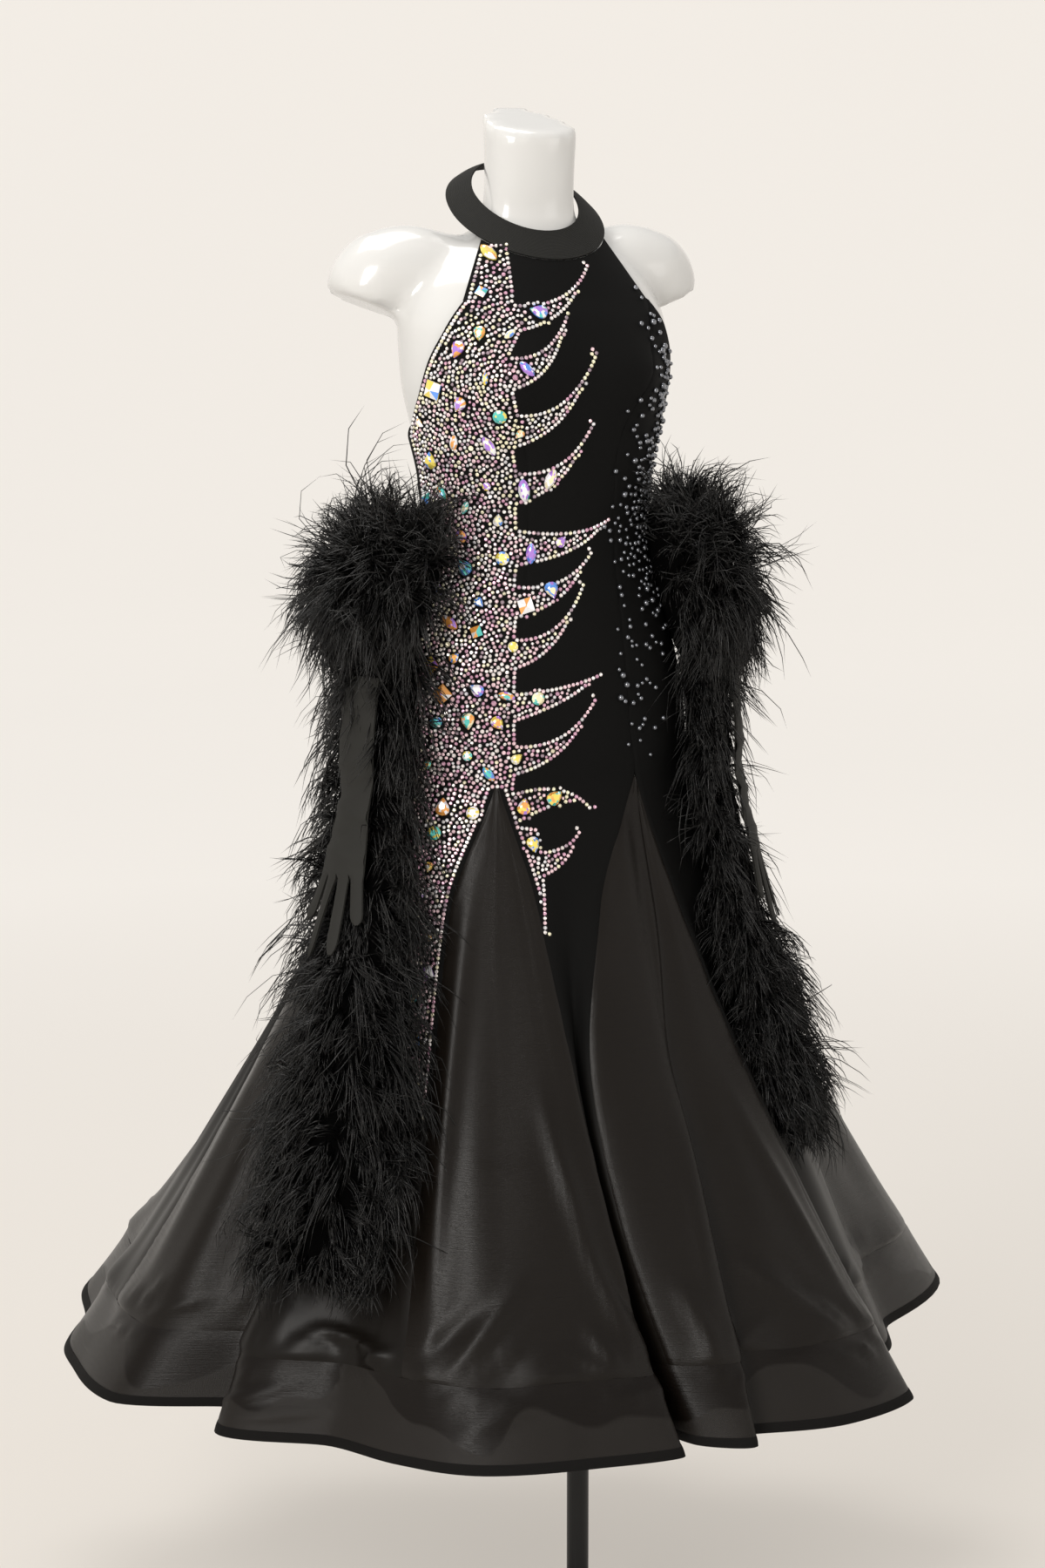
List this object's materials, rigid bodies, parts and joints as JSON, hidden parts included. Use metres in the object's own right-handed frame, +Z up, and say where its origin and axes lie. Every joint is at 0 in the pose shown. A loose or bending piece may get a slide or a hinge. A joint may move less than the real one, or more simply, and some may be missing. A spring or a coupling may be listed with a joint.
{
  "type": "ballroom dance dress on a dress form",
  "caption": "Sleeveless halter ballroom dress with flared godets, a stiff hem band, a neck band and feather-trimmed gloves, on a limbless dress form with a pole and round base.",
  "frame": {"origin": "middle of the base plate's underside, on the floor, on the pole's axis", "axes": "+Z up along the pole; the front of the dress faces -Y; +X is the wearer's left"},
  "size_m": [1.0627, 0.9921, 1.6821],
  "materials": {
    "crepe": "matt stretch crepe",
    "satin": "soft satin sheen",
    "hem_band": "satin organza over a stiff braid",
    "binding": "plain bias binding",
    "collar": "ribbed stretch cloth",
    "feather": "loose ostrich flue",
    "glove": "matt stretch mesh",
    "form_shell": "glossy moulded shell",
    "stand": "satin black paint"
  },
  "bodies": {
    "root": {"back_right": "crepe", "side_back_right": "crepe", "side_front_right": "crepe", "centre_front": "crepe", "side_front_left": "crepe", "side_back_left": "crepe", "back_left": "crepe", "back_godet_right": "satin", "side_godet_right": "satin", "front_godet_right": "satin", "front_godet_left": "satin", "side_godet_left": "satin", "back_godet_left": "satin", "hem_band_right": "hem_band", "hem_band_front": "hem_band", "hem_band_left": "hem_band", "hem_binding": "binding", "collar": "collar", "feather_cuff_right": "feather", "feather_boa_right": "feather", "feather_cuff_left": "feather", "feather_boa_left": "feather", "glove_right_under": "glove", "glove_right_upper": "glove", "glove_left_under": "glove", "glove_left_upper": "glove", "dress_form": "form_shell", "pole": "stand", "base_plate": "stand"}
  },
  "joints": []
}
